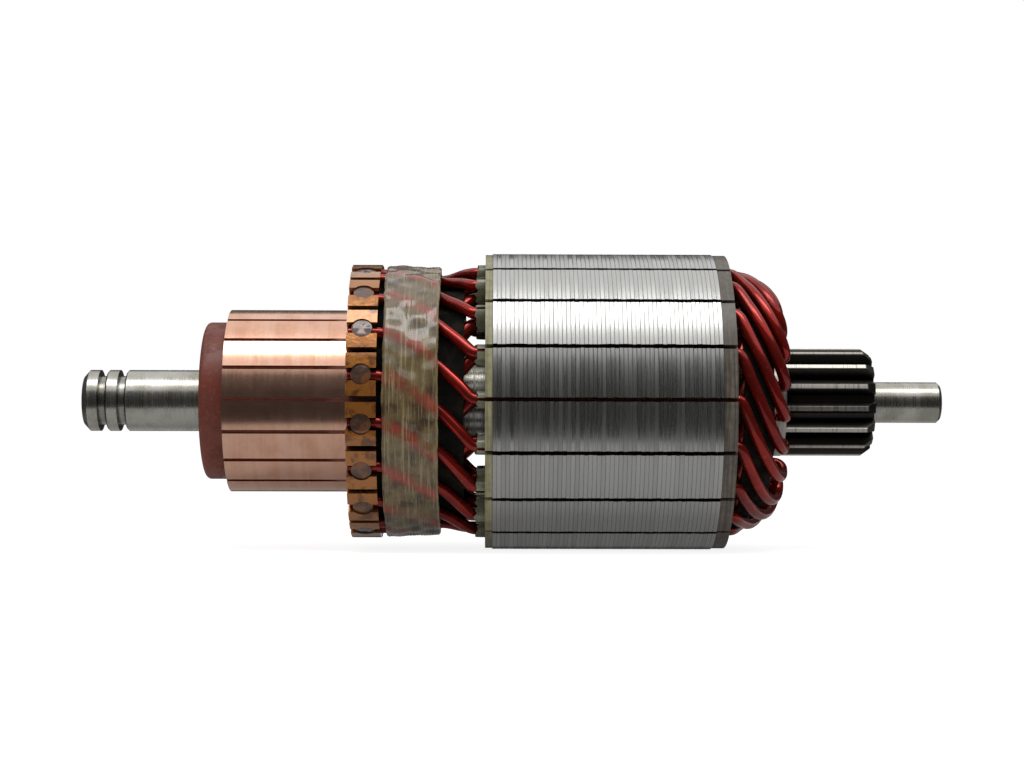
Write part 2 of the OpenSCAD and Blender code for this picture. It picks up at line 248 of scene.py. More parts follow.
def makeCavity():
    # Ambient-occlusion mask, 1 deep in gaps and corners and 0 in the open, which the materials use to paint
    # shade into their colour
    tree, source, sink = newGroup(
        "cavity",
        [("Distance", "NodeSocketFloat", 0.002), ("Low", "NodeSocketFloat", 0.3),
         ("High", "NodeSocketFloat", 0.9)],
        [("Mask", "NodeSocketFloat")])
    openness = addNode(tree, "ShaderNodeAmbientOcclusion", {"Distance": source.outputs["Distance"]},
                       samples=8).outputs["AO"]
    mask = mapRange(tree, openness, source.outputs["Low"], source.outputs["High"], 1.0, 0.0)
    tree.links.new(mask, sink.inputs["Mask"])
    return tree


def makeWornEdges():
    # 1 along sharp edges: how far the rounded normal leans from the true one, broken up by noise
    tree, source, sink = newGroup(
        "wornEdges",
        [("Vector", "NodeSocketVector", None), ("Radius", "NodeSocketFloat", 0.0003),
         ("Scale", "NodeSocketFloat", 900.0)],
        [("Mask", "NodeSocketFloat")])
    rounded = addNode(tree, "ShaderNodeBevel", {"Radius": source.outputs["Radius"]}, samples=6)
    true = addNode(tree, "ShaderNodeNewGeometry")
    lean = addNode(tree, "ShaderNodeVectorMath", {0: rounded.outputs[0], 1: true.outputs["Normal"]},
                   operation="DOT_PRODUCT").outputs["Value"]
    edge = mapRange(tree, lean, 0.995, 0.9)
    patchy = mapRange(tree, noise(tree, source.outputs["Vector"], source.outputs["Scale"]), 0.3, 0.6)
    tree.links.new(mathNode(tree, "MULTIPLY", edge, patchy), sink.inputs["Mask"])
    return tree


groups = {"turnedMarks": makeTurnedMarks(), "mottle": makeMottle(), "cavity": makeCavity(),
          "wornEdges": makeWornEdges()}


def effect(tree, name, **inputs):
    made = addNode(tree, "ShaderNodeGroup", node_tree=groups[name])
    for key, value in inputs.items():
        if isinstance(value, bpy.types.NodeSocket):
            tree.links.new(value, made.inputs[key])
        else:
            made.inputs[key].default_value = value
    return made.outputs["Mask"]


def newMaterial(name, fixed):
    # Principled material; fixed holds the shader's own plain values
    material = bpy.data.materials.new(name)
    material.use_nodes = True
    tree = material.node_tree
    tree.nodes.clear()
    shader = addNode(tree, "ShaderNodeBsdfPrincipled", fixed)
    addNode(tree, "ShaderNodeOutputMaterial", {"Surface": shader.outputs[0]})
    place = addNode(tree, "ShaderNodeTexCoord").outputs["Object"]
    return material, tree, shader, place


def feed(tree, shader, **sockets):
    names = {"colour": "Base Color", "roughness": "Roughness", "metallic": "Metallic", "coat": "Coat Weight",
             "alpha": "Alpha"}
    for key, value in sockets.items():
        tree.links.new(value, shader.inputs[names[key]])


def bump(tree, shader, height, depth, strength=1.0):
    made = addNode(tree, "ShaderNodeBump", {"Strength": strength, "Distance": depth * mm, "Height": height})
    tree.links.new(made.outputs[0], shader.inputs["Normal"])


def paint(names, material):
    for n in names:
        mesh = nodes[n].data
        mesh.materials.clear()
        mesh.materials.append(material)


# ---- ground steel: shaft and pinion ----

shaftLook = {
    "steel": (0.47, 0.46, 0.42), "tint": (0.33, 0.32, 0.27), "dark": (0.045, 0.042, 0.036),
    "worn": (0.55, 0.52, 0.47), "roughness": 0.24, "pinionStart": 117.0,
    "tipRadius": 10.625, "crestDepth": 0.25, "pilotRadius": 4.3,
}


def makeShaftMaterial(look):
    material, tree, shader, place = newMaterial("groundSteel", {"Metallic": 1.0})
    marks = effect(tree, "turnedMarks", Vector=place, Along=5200.0, Around=60.0)
    stain = effect(tree, "mottle", Vector=place, Scale=160.0)
    shadeInHollows = effect(tree, "cavity", Distance=0.0025, Low=0.25, High=0.85)
    split = addNode(tree, "ShaderNodeSeparateXYZ", {0: place})
    across = addNode(tree, "ShaderNodeCombineXYZ", {1: split.outputs[1], 2: split.outputs[2]}).outputs[0]
    radius = addNode(tree, "ShaderNodeVectorMath", {0: across}, operation="LENGTH").outputs["Value"]
    start, tip, pilot = look["pinionStart"], look["tipRadius"], look["pilotRadius"]
    isPinion = mathNode(tree, "MULTIPLY", mapRange(tree, split.outputs[0], (start - 0.1) * mm, start * mm),
                        mapRange(tree, radius, pilot * mm, (pilot + 0.2) * mm))
    crest = mapRange(tree, radius, (tip - look["crestDepth"]) * mm, (tip - 0.02) * mm)
    wear = mathNode(tree, "MULTIPLY", crest, mapRange(tree, marks, 0.25, 0.5))
    steel = mixColour(tree, stain, look["steel"], look["tint"])
    # Painted shade: the occlusion mask darkens the steel in gaps and corners
    steel = mixColour(tree, mathNode(tree, "MULTIPLY", shadeInHollows, 0.8), steel, look["dark"])
    teeth = mixColour(tree, wear, look["dark"], look["worn"])
    feed(tree, shader, colour=mixColour(tree, isPinion, steel, teeth))
    rough = mapRange(tree, marks, 0.3, 0.7, look["roughness"] - 0.06, look["roughness"] + 0.12)
    rough = mathNode(tree, "ADD", rough, mathNode(tree, "MULTIPLY", isPinion, 0.14))
    feed(tree, shader, roughness=rough)
    bump(tree, shader, marks, 0.012)
    return material


paint(["shaft"], makeShaftMaterial(shaftLook))


# ---- red-brown moulding of the commutator ----

hubLook = {"body": (0.17, 0.032, 0.017), "dusty": (0.25, 0.075, 0.048), "roughness": 0.5}


def makeHubMaterial(look):
    material, tree, shader, place = newMaterial("mouldedPhenolic", {"Specular IOR Level": 0.45})
    specks = effect(tree, "mottle", Vector=place, Scale=1500.0, Low=0.5, High=0.72)
    blotch = effect(tree, "mottle", Vector=place, Scale=260.0)
    edge = effect(tree, "wornEdges", Vector=place, Radius=0.0004)
    dust = mathNode(tree, "MAXIMUM", mathNode(tree, "MULTIPLY", specks, 0.6),
                    mathNode(tree, "MULTIPLY", edge, 0.7))
    base = mixColour(tree, mathNode(tree, "MULTIPLY", blotch, 0.5), look["body"],
                     tuple(0.6 * c for c in look["body"]))
    feed(tree, shader, colour=mixColour(tree, dust, base, look["dusty"]))
    rough = look["roughness"]
    feed(tree, shader, roughness=mapRange(tree, blotch, 0.0, 1.0, rough - 0.1, rough + 0.1))
    bump(tree, shader, noise(tree, place, 1800.0), 0.02)
    return material


paint(["commutator_hub"], makeHubMaterial(hubLook))


# ---- copper bars: turned track, varnished risers ----

barLook = {
    "copper": (0.80, 0.46, 0.33), "brown": (0.50, 0.24, 0.13), "varnish": (0.42, 0.15, 0.022),
    "varnishDark": (0.07, 0.02, 0.008), "roughness": 0.2, "riserWidth": 5.7,
}


def makeBarMaterial(look):
    material, tree, shader, place = newMaterial("commutatorCopper", {"Coat Roughness": 0.06, "Coat IOR": 1.5})
    marks = effect(tree, "turnedMarks", Vector=place, Along=4200.0, Around=70.0)
    bands = effect(tree, "turnedMarks", Vector=place, Along=420.0, Around=12.0)
    tarnish = effect(tree, "mottle", Vector=place, Scale=230.0, Low=0.35, High=0.75)
    hollowShade = effect(tree, "cavity", Distance=0.0022, Low=0.3, High=0.95)
    x = addNode(tree, "ShaderNodeSeparateXYZ", {0: place}).outputs[0]
    riserStart = barHigh[0] - look["riserWidth"]
    isRiser = mapRange(tree, x, (riserStart - 0.25) * mm, (riserStart + 0.15) * mm)
    copper = mixColour(tree, mathNode(tree, "MULTIPLY", tarnish, 0.45), look["copper"], look["brown"])
    copper = mixColour(tree, mapRange(tree, bands, 0.42, 0.62, 0.0, 0.35), copper, (0.86, 0.58, 0.46))
    # Painted shade: the occlusion mask darkens the copper towards brown in hollows
    copper = mixColour(tree, mathNode(tree, "MULTIPLY", hollowShade, 0.5), copper, look["brown"])
    # Varnish is darker where the noise pools it, and painted shade darkens it where the occlusion mask finds
    # hollows
    pooledAndShaded = mathNode(tree, "MAXIMUM", hollowShade, mapRange(tree, noise(tree, place, 420.0), 0.5, 0.68, 0.0, 0.7))
    varnish = mixColour(tree, pooledAndShaded, look["varnish"], look["varnishDark"])
    feed(tree, shader, colour=mixColour(tree, isRiser, copper, varnish))
    feed(tree, shader, metallic=mapRange(tree, isRiser, 0.0, 1.0, 1.0, 0.55))
    rough = mapRange(tree, marks, 0.3, 0.7, look["roughness"] - 0.03, look["roughness"] + 0.04)
    feed(tree, shader, roughness=mathNode(tree, "ADD", rough, mathNode(tree, "MULTIPLY", isRiser, 0.1)))
    feed(tree, shader, coat=isRiser)
    lumps = mathNode(tree, "MULTIPLY", noise(tree, place, 900.0, 2.0),
                     mathNode(tree, "MULTIPLY", isRiser, 20.0))
    bump(tree, shader, mathNode(tree, "ADD", marks, lumps), 0.006)
    return material


copperMaterial = makeBarMaterial(barLook)
paint([n for n in nodes if n.startswith("commutator_bar_")], copperMaterial)


# ---- core of stacked laminations ----

coreLook = {"steel": (0.50, 0.50, 0.485), "dull": (0.36, 0.35, 0.33), "seam": (0.10, 0.09, 0.08),
            "roughness": 0.27}
lamination = {
    "count": 53, "groove": 0.045, "grooveWidth": 0.16, "jag": 0.06, "jagLeft": 0.3, "jagRight": 0.12,
    "radialJitter": 0.012,
    "toothPoints": 9, "slotWidth": 2.91, "slotTop": 26.75, "slotFloor": 21.14, "slotOpening": 0.8,
    "slotPoints": 5, "bore": 9.02, "seed": 11,
}


def makeCoreMaterial(look):
    material, tree, shader, place = newMaterial("coreLaminations", {"Metallic": 1.0})
    x = addNode(tree, "ShaderNodeSeparateXYZ", {0: place}).outputs[0]
    pitch = (coreHigh[0] - coreLow[0]) / lamination["count"]
    sheet = mathNode(tree, "DIVIDE", mathNode(tree, "SUBTRACT", x, coreLow[0] * mm), pitch * mm)
    tone = addNode(tree, "ShaderNodeTexWhiteNoise", {"W": mathNode(tree, "FLOOR", sheet)},
                   noise_dimensions="1D").outputs["Value"]
    edgeDistance = mathNode(tree, "ABSOLUTE", mathNode(tree, "SUBTRACT", mathNode(tree, "FRACT", sheet), 0.5))
    seam = mapRange(tree, edgeDistance, 0.40, 0.47)
    marks = effect(tree, "turnedMarks", Vector=place, Along=6000.0, Around=90.0)
    wide = effect(tree, "turnedMarks", Vector=place, Along=300.0, Around=20.0)
    hollowShade = effect(tree, "cavity", Distance=0.0012, Low=0.2, High=0.8)
    base = mixColour(tree, mathNode(tree, "MULTIPLY", tone, 0.22), look["steel"], look["dull"])
    base = mixColour(tree, mapRange(tree, wide, 0.45, 0.65, 0.0, 0.15), base, look["dull"])
    # Dark seams between the sheets, and painted shade where the occlusion mask finds slots and corners
    base = mixColour(tree, mathNode(tree, "MAXIMUM", mathNode(tree, "MULTIPLY", seam, 0.55), hollowShade), base,
                     look["seam"])
    feed(tree, shader, colour=base)
    rough = mapRange(tree, mathNode(tree, "ADD", mathNode(tree, "MULTIPLY", tone, 0.4), marks), 0.3, 1.1,
                     look["roughness"] - 0.08, look["roughness"] + 0.16)
    feed(tree, shader, roughness=rough)
    bump(tree, shader, marks, 0.004)
    return material


def makeCore(size, material):
    # One slot pitch's outline, repeated round the shaft and carried along it sheet by sheet
    rng = np.random.default_rng(size["seed"])
    outer, bore = coreHigh[1], size["bore"]
    half, mouth = size["slotWidth"] / 2, size["slotOpening"] / 2
    tooth = np.linspace(-1, 1, size["toothPoints"])
    turn = np.linspace(0, math.pi / 2, size["slotPoints"])
    # Right half of a slot as (across, radius), from the mouth down to the middle of the floor
    upper = np.stack([half * np.sin(turn), size["slotTop"] - half + half * np.cos(turn)], -1)
    lower = np.stack([half * np.cos(turn), size["slotFloor"] + half - half * np.sin(turn)], -1)
    upper = upper[upper[:, 0] > mouth]
    topEdge = [[mouth, outer], [mouth, size["slotTop"] - half + math.sqrt(half ** 2 - mouth ** 2)]]
    side = np.concatenate([topEdge, upper, lower])
    # Along the pitch: floor of slot i, up its side, over the tooth, down the side of slot i + 1
    climb = side[::-1]
    span = slotPitch / 2 - mouth / outer
    crown = np.stack([tooth[1:-1] * span, np.full(size["toothPoints"] - 2, outer)], -1)
    climbPolar = np.stack([np.arctan2(climb[:, 0], climb[:, 1]) - slotPitch / 2,
                           np.hypot(climb[:, 0], climb[:, 1])], -1)
    mirror = climbPolar[::-1][:-1] * [-1, 1]
    outline = np.concatenate([climbPolar, crown, mirror])          # angle from the tooth's middle, radius
    perPitch = len(outline)
    isTop = outline[:, 1] > outer - 0.5
    sideSign = np.sign(outline[:, 0])
    # Stations: each sheet has two edges and the groove to the next
    pitch = (coreHigh[0] - coreLow[0]) / size["count"]
    starts = coreLow[0] + pitch * np.arange(size["count"])
    g = size["grooveWidth"] / 2
    stations = np.stack([starts + g, starts + pitch - g, starts + pitch], -1)
    stations[-1, 2] = coreHigh[0]
    xs = np.concatenate([[coreLow[0]], stations.ravel()])
    sheetOf = np.minimum(np.repeat(np.arange(size["count"]), 3), size["count"] - 1)
    sheetOf = np.concatenate([[0], sheetOf])
    depth = np.concatenate([[size["groove"]], np.tile([0, 0, size["groove"]], size["count"])])
    jag = rng.uniform(-1, 1, (size["count"], slotCount, 2)) * size["jag"]
    lift = rng.uniform(-1, 0, (size["count"], slotCount)) * size["radialJitter"]
    angle = outline[None, :, 0] + slotPitch * (np.arange(slotCount)[:, None] + 0.5)
    angle = np.broadcast_to(angle, (len(xs), slotCount, perPitch)).copy()
    radius = np.broadcast_to(outline[:, 1], angle.shape).copy()
    sideIndex = (sideSign > 0).astype(int)
    edgePoint = (np.abs(outline[:, 0]) > span - 1e-6) & (outline[:, 1] > size["slotTop"] - half * 0.2)
    shift = jag[sheetOf][:, :, sideIndex] * edgePoint / outer * -sideSign
    angle += np.clip(shift, -size["jagLeft"] / outer, size["jagRight"] / outer)
    radius -= isTop * depth[:, None, None]
    radius += isTop * lift[sheetOf][:, :, None]
    points = roundPoint(xs[:, None], radius.reshape(len(xs), -1), angle.reshape(len(xs), -1))
    cols = slotCount * perPitch
    faces = gridFaces(len(xs), cols).tolist()
    # Bore and the two end faces, one many-sided face for each tooth at each end
    boreSteps = 6
    boreAll = slotPitch / boreSteps * np.arange(slotCount * boreSteps)
    first = len(xs) * cols
    borePoints = np.concatenate([roundPoint(xs[0], bore, boreAll), roundPoint(xs[-1], bore, boreAll)])
    count = slotCount * boreSteps
    faces += [[first + (k + 1) % count, first + k, first + count + k, first + count + (k + 1) % count]
              for k in range(count)]
    last = (len(xs) - 1) * cols
    for k in range(slotCount):
        rim = [(k * perPitch + j) % cols for j in range(perPitch + 1)]
        inner = [(k * boreSteps + j) % count for j in range(boreSteps + 1)]
        faces.append(rim[::-1] + [first + b for b in inner])
        faces.append([last + r for r in rim] + [first + count + b for b in inner[::-1]])
    allPoints = np.concatenate([points.reshape(-1, 3), borePoints])
    piece = meshPiece("laminated_core", allPoints, faces, material, sharp=28)
    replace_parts(piece, "core_stack")
    return piece


makeCore(lamination, makeCoreMaterial(coreLook))
print("core made")


# ---- insulating end plates ----

frontBoardLook = {"body": (0.26, 0.235, 0.115), "ply": (0.36, 0.34, 0.20), "dark": (0.07, 0.062, 0.03),
                  "roughness": 0.45, "plies": 3400.0}
rearBoardLook = {"body": (0.080, 0.062, 0.045), "ply": (0.15, 0.125, 0.10), "dark": (0.02, 0.015, 0.012),
                 "roughness": 0.5, "plies": 3000.0}


def makeBoardMaterial(name, look):
    material, tree, shader, place = newMaterial(name, {"Coat Weight": 0.25, "Coat Roughness": 0.2})
    plies = effect(tree, "turnedMarks", Vector=place, Along=look["plies"], Around=60.0)
    fibres = effect(tree, "mottle", Vector=place, Scale=700.0)
    hollowShade = effect(tree, "cavity", Distance=0.0012, Low=0.2, High=0.85)
    base = mixColour(tree, mapRange(tree, plies, 0.42, 0.6), look["body"], look["ply"])
    base = mixColour(tree, mathNode(tree, "MULTIPLY", fibres, 0.35), base, look["dark"])
    # Painted shade: the occlusion mask darkens the board in hollows
    feed(tree, shader, colour=mixColour(tree, hollowShade, base, look["dark"]))
    rough = look["roughness"]
    feed(tree, shader, roughness=mapRange(tree, plies, 0.3, 0.7, rough - 0.1, rough + 0.15))
    bump(tree, shader, plies, 0.05)
    return material


paint(["front_end_plate"], makeBoardMaterial("greenBoard", frontBoardLook))
paint(["rear_end_plate"], makeBoardMaterial("brownFibre", rearBoardLook))


# ---- winding of enamelled wire ----

winding = {
    "wireDiameter": 2.25, "layerStep": 2.7, "slotRadius": 25.295, "riserRadius": 24.875,
    "riserWidth": 5.7, "waistRadius": 23.845, "waistStart": 0.38, "waistEnd": 0.65,
    "leadTurn": 30.0, "leadBow": 0.6, "leadBend": 0.8, "leadEnd": 0.3, "crestDip": 0.6,
    "crestBlend": 16.0, "noseDrop": 7.7, "turnBend": 0.7, "halfSpan": 50.0,
    "sides": 20, "leadPoints": 40, "turnPoints": 34, "loopPoints": 13,
    "swayLead": 0.30, "swayTurn": 0.40, "rise": 0.12, "noseOut": 0.30,
    "leadSwayRadius": 24, "turnSwayRadius": 22, "seed": 5,
}
wireLook = {"enamel": (0.33, 0.013, 0.007), "thickEnamelAndShade": (0.085, 0.004, 0.003), "thin": (0.58, 0.09, 0.025),
            "roughness": 0.2, "metallic": 0.7}


def makeWireMaterial(look):
    material, tree, shader, place = newMaterial(
        "redEnamel", {"Metallic": look["metallic"], "Coat Weight": 0.3, "Coat Roughness": 0.07,
                      "Coat IOR": 1.55})
    uneven = effect(tree, "mottle", Vector=place, Scale=220.0, Low=0.35, High=0.7)
    rubbed = effect(tree, "mottle", Vector=place, Scale=640.0, Low=0.58, High=0.75)
    hollowShade = effect(tree, "cavity", Distance=0.002, Low=0.25, High=0.9)
    base = mixColour(tree, mathNode(tree, "MULTIPLY", uneven, 0.6), look["enamel"], look["thickEnamelAndShade"])
    base = mixColour(tree, mathNode(tree, "MULTIPLY", rubbed, 0.35), base, look["thin"])
    # Painted shade: the occlusion mask darkens the wires in gaps and corners
    feed(tree, shader, colour=mixColour(tree, mathNode(tree, "MULTIPLY", hollowShade, 0.9), base, look["thickEnamelAndShade"]))
    rough = look["roughness"]
    feed(tree, shader, roughness=mapRange(tree, uneven, 0.0, 1.0, rough - 0.05, rough + 0.1))
    bump(tree, shader, noise(tree, place, 700.0, 2.0), 0.02)
    return material


# Stations of the winding along the shaft
riserEnd = barHigh[0]
riserStart = riserEnd - winding["riserWidth"] + winding["leadEnd"]
slotFront, slotRear = linerLow[0], linerHigh[0]
turnStart = slotRear + winding["turnBend"]
noseX = coilHigh[0] - winding["wireDiameter"] / 2


def leadRadius(x):
    # Waist radius, rising to the riser's over the first stretch and to the slot's over the last
    w = winding
    t = (x - riserEnd) / (slotFront - riserEnd)
    toRiser = (w["riserRadius"] - w["waistRadius"]) * (1 - smoothStep(t / w["waistStart"]))
    toSlot = (w["slotRadius"] - w["waistRadius"]) * smoothStep((t - w["waistEnd"]) / (1 - w["waistEnd"]))
    return w["waistRadius"] + toRiser + toSlot


def leadAngle(x):
    # Full lead turn at the riser, 0 at the slot, bowed between by t (1 + bow (1 - t))
    w = winding
    slotX, riserX = slotFront - w["leadBend"], riserEnd + w["leadBend"]
    run = slotX - riserX
    u = bendRamp(slotX - x, w["leadBend"])
    t = 1 - bendRamp(run - u, w["leadBend"]) / run
    return math.radians(w["leadTurn"]) * t * (1 + w["leadBow"] * (1 - t))


def coilRoute(sway, turnSway, rise, noseOut):
    # (x, radius, angle) from riser to slot, round the nose and back in the lower layer
    w = winding
    x = np.linspace(riserStart, slotFront, w["leadPoints"])
    middle = np.sin(math.pi * np.clip((x - riserEnd) / (slotFront - riserEnd), 0, 1)) ** 2
    half = math.radians(w["halfSpan"])
    reach = noseX - turnStart
    noseRadius = w["slotRadius"] - w["crestDip"] - w["noseDrop"]

    def lead(drop, lean):
        return np.stack([x, leadRadius(x) - drop, -leadAngle(x) + lean / w["leadSwayRadius"] * middle], -1)

    def turn(drop, out, lean, lift):
        a = np.linspace(0, math.pi / 2, w["turnPoints"])
        u = (reach - drop) * np.sin(a)
        radius = noseRadius + (w["noseDrop"] - drop) * np.cos(a) \
            + w["crestDip"] * (1 - smoothStep(np.degrees(a) / w["crestBlend"])) + lift * np.sin(2 * a) ** 2
        angle = half * bendRamp(u, w["turnBend"]) / (reach - drop)
        angle = angle + lean / w["turnSwayRadius"] * np.sin(2 * a) ** 2
        body = np.stack([turnStart + u + out * np.sin(a), radius, angle], -1)
        u = np.linspace(-w["turnBend"], 0, 5)[:-1]
        entry = np.stack([turnStart + u, np.full(4, w["slotRadius"] - drop),
                          half * bendRamp(u, w["turnBend"]) / (reach - drop)], -1)
        return np.concatenate([entry, body])

    def returned(route):
        return route[::-1] * [1, 1, -1] + [0, 0, 2 * half]

    drop = w["layerStep"]
    size = (drop + noseOut) / 2
    a = np.linspace(0, math.pi, w["loopPoints"] + 2)[1:-1]
    loop = np.stack([noseX + noseOut - size + size * np.cos(a), noseRadius - size * np.sin(a),
                     np.full(len(a), half)], -1)
    slot = np.linspace(slotFront, slotRear, 6)[1:-1]
    straight = np.stack([slot, np.full(4, w["slotRadius"]), np.zeros(4)], -1)
    return np.concatenate([
        lead(0, sway), straight, turn(0, noseOut, turnSway, rise), loop,
        returned(turn(drop, 0, 0, 0)), returned(straight - [0, drop, 0]), returned(lead(drop, 0))])


def makeWinding(size, material):
    rng = np.random.default_rng(size["seed"])
    most = [size["swayLead"], size["swayTurn"], size["rise"], size["noseOut"]]
    sway = rng.uniform(-1, 1, (slotCount, 4)) * most
    sway[:, 2:] = np.abs(sway[:, 2:])
    for k in range(slotCount):
        route = coilRoute(*sway[k])
        route[:, 2] += (k + 1) * slotPitch
        points, faces = tube(route, size["wireDiameter"] / 2, size["sides"])
        name = f"coil_{k + 1:02d}"
        piece = meshPiece(f"wire_{name}", points, faces, material, sharp=60)
        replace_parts(piece, name)


makeWinding(winding, makeWireMaterial(wireLook))
print("winding made")


# ---- film liners at the slots ----

linerLook = {"film": (0.33, 0.34, 0.24), "stainedAndShaded": (0.12, 0.11, 0.06), "roughness": 0.28}
liner = {
    "thickness": 0.22, "width": 2.85, "floor": 21.17, "top": 26.72, "slit": 0.5, "flare": 0.07, "ragged": 0.6,
    "flareLength": 0.7, "raggedLength": 1.2, "points": 44, "seed": 3,
}


def makeLinerMaterial(look):
    material, tree, shader, place = newMaterial(
        "filmLiner", {"Transmission Weight": 0.25, "IOR": 1.45, "Coat Weight": 0.3, "Coat Roughness": 0.1})
    stain = effect(tree, "mottle", Vector=place, Scale=420.0)
    hollowShade = effect(tree, "cavity", Distance=0.002, Low=0.15, High=0.8)
    base = mixColour(tree, mathNode(tree, "MULTIPLY", stain, 0.6), look["film"], look["stainedAndShaded"])
    # Painted shade: the occlusion mask darkens the film inside the slots
    feed(tree, shader, colour=mixColour(tree, hollowShade, base, look["stainedAndShaded"]))
    rough = look["roughness"]
    feed(tree, shader, roughness=mapRange(tree, stain, 0.0, 1.0, rough - 0.08, rough + 0.15))
    bump(tree, shader, noise(tree, place, 900.0), 0.03)
    return material


def makeLiners(size, material):
    # Open loop round each slot's wall, carried along the slot, flared and ragged at the front
    rng = np.random.default_rng(size["seed"])
    half = size["width"] / 2
    straight = size["top"] - size["floor"] - 2 * half
    gapAngle = math.asin(size["slit"] / 2 / half)
    # Across and height along the loop, from beside the mouth, down one side, round and up the other
    top, floor = size["top"] - half, size["floor"] + half
    s1 = (math.pi / 2 - gapAngle) * half
    s2 = s1 + straight
    s3 = s2 + math.pi * half
    s4 = s3 + straight
    total = s4 + s1
    s = np.linspace(0, total, size["points"])
    bottomAngle = (s - s2) / half
    endAngle = (s - s4) / half
    startAngle = gapAngle + s / half
    part = [s < s1, s < s2, s < s3, s < s4]
    across = np.select(part, [half * np.sin(startAngle), half, half * np.cos(bottomAngle), -half],
                       -half * np.cos(endAngle))
    height = np.select(part, [top + half * np.cos(startAngle), top - (s - s1),
                              floor - half * np.sin(bottomAngle), floor + (s - s3)],
                       top + half * np.sin(endAngle))
    line = np.stack([across, height], -1)
    normal = unit(np.stack([np.gradient(height), -np.gradient(across)], -1))
    along = np.array([0, 0.35, 0.8, 1.4, 2.4, 10, 46.5, 47.5, linerHigh[0] - linerLow[0]])
    flareFade = np.exp(-along / size["flareLength"])
    raggedFade = np.exp(-along / size["raggedLength"])
    pieces, faces, base = [], [], 0
    for k in range(slotCount):
        wave = aroundNoise(rng, s / total * tau, 12, 8)
        flare = size["flare"] * (0.4 + 0.6 * aroundNoise(rng, s / total * tau, 8, 6))
        shift = size["ragged"] * wave * 0.5
        x = linerLow[0] + along[:, None] + np.maximum(shift, -0.9)[None] * raggedFade[:, None]
        outside = line[None] + normal[None] * (flare[None, :] * flareFade[:, None])[..., None]
        inside = outside - normal[None] * size["thickness"]
        shell = np.concatenate([outside, inside[:, ::-1]], 1)
        xs = np.concatenate([x, x[:, ::-1]], 1)
        angle = (k + 1) * slotPitch
        c, t = shell[..., 0], shell[..., 1]
        # across runs along (0, sin, -cos), height along (0, -cos, -sin)
        y = c * math.sin(angle) - t * math.cos(angle)
        z = -c * math.cos(angle) - t * math.sin(angle)
        pieces.append(np.stack([xs, y, z], -1).reshape(-1, 3))
        cols, rows = shell.shape[1], shell.shape[0]
        grid = gridFaces(rows, cols) + base
        faces += grid.tolist()
        n = size["points"]
        for row in (0, rows - 1):
            ends = [[base + row * cols + j, base + row * cols + j + 1, base + row * cols + cols - 2 - j,
                     base + row * cols + cols - 1 - j] for j in range(n - 1)]
            faces += ends if row else [e[::-1] for e in ends]
        base += rows * cols
    return meshPiece("film_liners", np.concatenate(pieces), faces, material, sharp=40)


linerMaterial = makeLinerMaterial(linerLook)
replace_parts(makeLiners(liner, linerMaterial), "slot_liners")
print("liners made")


# ---- sheets between the layers ----

# Painted shade: the sheets between the layers are nearly black, standing in for the shade in the gaps between
# the top wires
sheetLook = {"body": (0.006, 0.007, 0.006), "varnish": (0.018, 0.012, 0.008)}


def makeSheetMaterial(look):
    material, tree, shader, place = newMaterial("layerSheet", {"Specular IOR Level": 0.12})
    pools = effect(tree, "mottle", Vector=place, Scale=330.0)
    feed(tree, shader, colour=mixColour(tree, pools, look["body"], look["varnish"]))
    feed(tree, shader, roughness=mapRange(tree, pools, 0.0, 1.0, 0.95, 0.75))
    bump(tree, shader, noise(tree, place, 800.0), 0.04)
    return material


paint(["front_layer_sheet", "rear_layer_sheet"], makeSheetMaterial(sheetLook))


# ---- binding band of resin-soaked glass fibre ----

band = {
    "outerRadius": 26.6, "fall": 0.3, "clearance": 0.1, "aroundPoints": 540, "acrossPoints": 62,
    "ragged": 0.42, "lumps": 0.16, "ridge": 0.035, "overWire": 0.14, "inset": 0.25,
    "crossing": 0.72, "reach": 0.95, "rimDrop": 0.28, "thinnest": 0.12, "seed": 23,
}
bandLook = {
    "glass": (0.165, 0.115, 0.045), "pale": (0.34, 0.28, 0.14), "deep": (0.050, 0.028, 0.012),
    "wire": (0.30, 0.035, 0.016), "glint": (0.80, 0.78, 0.66), "roughness": 0.3,
}


def makeBandMaterial(look):
    material, tree, shader, place = newMaterial(
        "glassBand", {"Coat Weight": 0.8, "Coat Roughness": 0.12, "Specular IOR Level": 0.5})
    fibres = effect(tree, "turnedMarks", Vector=place, Along=2300.0, Around=110.0)
    fine = effect(tree, "turnedMarks", Vector=place, Along=5200.0, Around=420.0)
    pools = effect(tree, "mottle", Vector=place, Scale=300.0, Low=0.38, High=0.66)
    flecks = effect(tree, "mottle", Vector=place, Scale=1100.0, Low=0.6, High=0.72)
    below = addNode(tree, "ShaderNodeAttribute", attribute_name="wireBelow").outputs["Fac"]
    edge = addNode(tree, "ShaderNodeAttribute", attribute_name="rim").outputs["Fac"]
    base = mixColour(tree, pools, look["glass"], look["deep"])
    clear = mapRange(tree, mathNode(tree, "ADD", fibres, pools), 0.35, 1.25, 0.15, 1.0)
    seen = mathNode(tree, "MULTIPLY", below, clear)
    base = mixColour(tree, seen, base, look["wire"])
    base = mixColour(tree, mapRange(tree, fibres, 0.5, 0.68, 0.0, 0.75), base, look["pale"])
    bright = mathNode(tree, "MULTIPLY", mapRange(tree, fine, 0.56, 0.7), flecks)
    base = mixColour(tree, bright, base, look["glint"])
    base = mixColour(tree, mathNode(tree, "MULTIPLY", edge, 0.7), base, look["pale"])
    feed(tree, shader, colour=base)
    rough = look["roughness"]
    feed(tree, shader, roughness=mapRange(tree, fine, 0.3, 0.7, rough - 0.1, rough + 0.2))
    bump(tree, shader, mathNode(tree, "ADD", fibres, mathNode(tree, "MULTIPLY", fine, 0.5)), 0.11)
    return material


